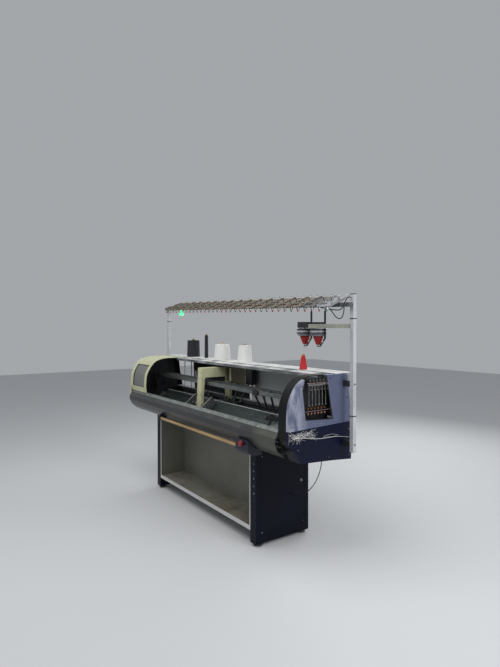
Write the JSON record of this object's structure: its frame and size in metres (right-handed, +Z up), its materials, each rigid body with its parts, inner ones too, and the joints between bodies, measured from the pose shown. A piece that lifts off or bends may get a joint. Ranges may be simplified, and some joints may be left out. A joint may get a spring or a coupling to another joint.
{
  "type": "flat knitting machine",
  "caption": "Computer-controlled flat knitting machine with V beds, bridge carriage, yarn feeders, take-down rollers, end covers and a yarn stand over the table.",
  "frame": {"origin": "on the floor, below the middle of the machine's box", "axes": "+X along the needle beds to the operator's right, -Y towards the operator, +Z up"},
  "size_m": [2.83, 0.708, 1.8827],
  "materials": {
    "navy_paint": "satin paint, dusty",
    "dark_metal": "satin black",
    "casting_grey": "painted, oily",
    "bed_steel": "ground, oiled",
    "front_cover_grey": "satin paint, worn",
    "ledge_grey": "brushed, worn",
    "cream_cover": "moulded, yellowed",
    "blue_grey_cover": "satin paint, scuffed",
    "black_cover": "satin",
    "table_sheet": "pale enamel",
    "rear_sheet": "pale enamel",
    "stand_white": "white enamel",
    "rail_steel": "ground",
    "tensioner_brown": "dusty",
    "lamp_green": "lit lens",
    "tray_sheet": "warm grey paint",
    "belt_rubber": "toothed belt",
    "cabinet_paint": "satin paint",
    "feeder_black": "satin",
    "white_yarn": "wound yarn",
    "black_yarn": "wound yarn",
    "cable_black": "matt",
    "bridge_cream": "satin paint",
    "cam_dark": "dark anodised, oily",
    "roller_rubber": "knurled rubber",
    "steel": "turned",
    "bar_brass": "worn anodised",
    "stop_red": "moulded",
    "drum_grey": "turned, banded",
    "smoked_sheet": "smoked sheet",
    "frosted_sheet": "frosted sheet",
    "wire_steel": "bright wire"
  },
  "bodies": {
    "machine": {"left_pedestal": "navy_paint", "right_pedestal": "navy_paint", "levelling_feet": "dark_metal", "bed_casting": "casting_grey", "front_needle_bed": "bed_steel", "front_cover": "front_cover_grey", "front_ledge": "ledge_grey", "left_end_cover": "cream_cover", "left_arch": "cream_cover", "right_end_upper": "blue_grey_cover", "right_end_lower": "navy_paint", "right_arch_band": "black_cover", "yarn_table": "table_sheet", "rear_lower_cover": "rear_sheet", "stand_posts": "stand_white", "storage_rail": "stand_white", "tensioner_rail": "rail_steel", "top_tensioners": "tensioner_brown", "signal_lamp": "lamp_green", "side_tension_right": "dark_metal", "side_tension_left": "dark_metal", "feeder_rails": "rail_steel", "feeder_rail_brackets": "dark_metal", "takedown_brackets": "casting_grey", "fabric_tray": "tray_sheet", "bar_brackets": "navy_paint", "drive_motor": "dark_metal", "drive_belt": "belt_rubber", "control_cabinet": "cabinet_paint", "storage_feeders": "feeder_black", "white_cones": "white_yarn", "dark_cones": "black_yarn", "cables": "cable_black"},
    "carriage": {"carriage_bridge": "bridge_cream", "front_cam_box": "cam_dark", "rear_cam_box": "cam_dark", "carriage_box": "black_cover"},
    "rear_bed": {"rear_needle_bed": "bed_steel"},
    "main_roller": {"takedown_roller": "roller_rubber"},
    "pinching_roller": {"pinch_roller": "steel"},
    "start_bar": {"operating_bar": "bar_brass"},
    "stop_knob": {"stop_button": "stop_red"},
    "drum_a": {"storage_drum_1": "drum_grey"},
    "drum_b": {"storage_drum_2": "drum_grey"},
    "right_pulley": {"drive_pulley": "steel"},
    "left_pulley": {"idler_pulley": "steel"},
    "left_door": {"rear_door_left": "smoked_sheet"},
    "right_door": {"rear_door_right": "frosted_sheet"},
    "yarn_feeder_1": {"feeder_1": "feeder_black"},
    "yarn_feeder_2": {"feeder_2": "feeder_black"},
    "yarn_feeder_3": {"feeder_3": "feeder_black"},
    "yarn_feeder_4": {"feeder_4": "feeder_black"},
    "yarn_feeder_5": {"feeder_5": "feeder_black"},
    "yarn_feeder_6": {"feeder_6": "feeder_black"},
    "tension_arm_1": {"spring_arm_1": "wire_steel"},
    "tension_arm_2": {"spring_arm_2": "wire_steel"},
    "tension_arm_3": {"spring_arm_3": "wire_steel"},
    "tension_arm_4": {"spring_arm_4": "wire_steel"},
    "tension_arm_5": {"spring_arm_5": "wire_steel"},
    "tension_arm_6": {"spring_arm_6": "wire_steel"}
  },
  "joints": [
    {"name": "carriage_travel", "type": "slide", "parent": "machine", "child": "carriage", "axis": [1, 0, 0], "range_m": [-0.81, 1]},
    {"name": "feeder_1_travel", "type": "slide", "parent": "machine", "child": "yarn_feeder_1", "axis": [1, 0, 0], "range_m": [-1.69, 0.41]},
    {"name": "feeder_2_travel", "type": "slide", "parent": "machine", "child": "yarn_feeder_2", "axis": [1, 0, 0], "range_m": [-1.765, 0.335]},
    {"name": "feeder_3_travel", "type": "slide", "parent": "machine", "child": "yarn_feeder_3", "axis": [1, 0, 0], "range_m": [-1.84, 0.26]},
    {"name": "feeder_4_travel", "type": "slide", "parent": "machine", "child": "yarn_feeder_4", "axis": [1, 0, 0], "range_m": [-1.915, 0.185]},
    {"name": "feeder_5_travel", "type": "slide", "parent": "machine", "child": "yarn_feeder_5", "axis": [1, 0, 0], "range_m": [-1.265, 0.835]},
    {"name": "feeder_6_travel", "type": "slide", "parent": "machine", "child": "yarn_feeder_6", "axis": [1, 0, 0], "range_m": [-1.355, 0.745]},
    {"name": "bed_racking", "type": "slide", "parent": "machine", "child": "rear_bed", "axis": [1, 0, 0], "range_m": [-0.025, 0.025]},
    {"name": "main_roller_turn", "type": "hinge", "parent": "machine", "child": "main_roller", "pos_m": [0, 0.027, 0.79], "axis": [1, 0, 0], "continuous": true},
    {"name": "pinch_roller_turn", "type": "hinge", "parent": "machine", "child": "pinching_roller", "pos_m": [0, -0.0163, 0.79], "axis": [1, 0, 0], "continuous": true},
    {"name": "bar_turn", "type": "hinge", "parent": "machine", "child": "start_bar", "pos_m": [0, -0.316, 0.75], "axis": [1, 0, 0], "range_deg": [-20, 20], "stiffness_Nm_per_rad": 2},
    {"name": "stop_push", "type": "slide", "parent": "machine", "child": "stop_knob", "axis": [0, 1, 0], "range_m": [0, 0.006], "stiffness_N_per_m": 900},
    {"name": "drum_1_turn", "type": "hinge", "parent": "machine", "child": "drum_a", "pos_m": [0.998, 0.12, 1.54], "axis": [0, 0, 1], "continuous": true},
    {"name": "drum_2_turn", "type": "hinge", "parent": "machine", "child": "drum_b", "pos_m": [1.138, 0.12, 1.54], "axis": [0, 0, 1], "continuous": true},
    {"name": "drive_pulley_turn", "type": "hinge", "parent": "machine", "child": "right_pulley", "pos_m": [1.215, 0.248, 0.875], "axis": [0, 1, 0], "continuous": true},
    {"name": "idler_pulley_turn", "type": "hinge", "parent": "machine", "child": "left_pulley", "pos_m": [-1.215, 0.248, 0.875], "axis": [0, 1, 0], "continuous": true},
    {"name": "left_door_slide", "type": "slide", "parent": "machine", "child": "left_door", "axis": [1, 0, 0], "range_m": [-0.31, 1.07]},
    {"name": "right_door_slide", "type": "slide", "parent": "machine", "child": "right_door", "axis": [1, 0, 0], "range_m": [-1.34, 0]},
    {"name": "arm_1_swing", "type": "hinge", "parent": "machine", "child": "tension_arm_1", "pos_m": [1.304, -0.118, 1.222], "axis": [0, 1, 0], "range_deg": [-30, 6], "stiffness_Nm_per_rad": 0.02},
    {"name": "arm_2_swing", "type": "hinge", "parent": "machine", "child": "tension_arm_2", "pos_m": [1.304, -0.088, 1.222], "axis": [0, 1, 0], "range_deg": [-30, 6], "stiffness_Nm_per_rad": 0.02},
    {"name": "arm_3_swing", "type": "hinge", "parent": "machine", "child": "tension_arm_3", "pos_m": [1.304, -0.058, 1.222], "axis": [0, 1, 0], "range_deg": [-30, 6], "stiffness_Nm_per_rad": 0.02},
    {"name": "arm_4_swing", "type": "hinge", "parent": "machine", "child": "tension_arm_4", "pos_m": [1.304, -0.028, 1.222], "axis": [0, 1, 0], "range_deg": [-30, 6], "stiffness_Nm_per_rad": 0.02},
    {"name": "arm_5_swing", "type": "hinge", "parent": "machine", "child": "tension_arm_5", "pos_m": [1.304, 0.002, 1.222], "axis": [0, 1, 0], "range_deg": [-30, 6], "stiffness_Nm_per_rad": 0.02},
    {"name": "arm_6_swing", "type": "hinge", "parent": "machine", "child": "tension_arm_6", "pos_m": [1.304, 0.032, 1.222], "axis": [0, 1, 0], "range_deg": [-30, 6], "stiffness_Nm_per_rad": 0.02}
  ],
  "couplings": [
    {"joint": "pinch_roller_turn", "follows": "main_roller_turn", "ratio": -1.3889},
    {"joint": "drive_pulley_turn", "follows": "carriage_travel", "rad_per_m": 31.447},
    {"joint": "idler_pulley_turn", "follows": "carriage_travel", "rad_per_m": 31.447}
  ]
}
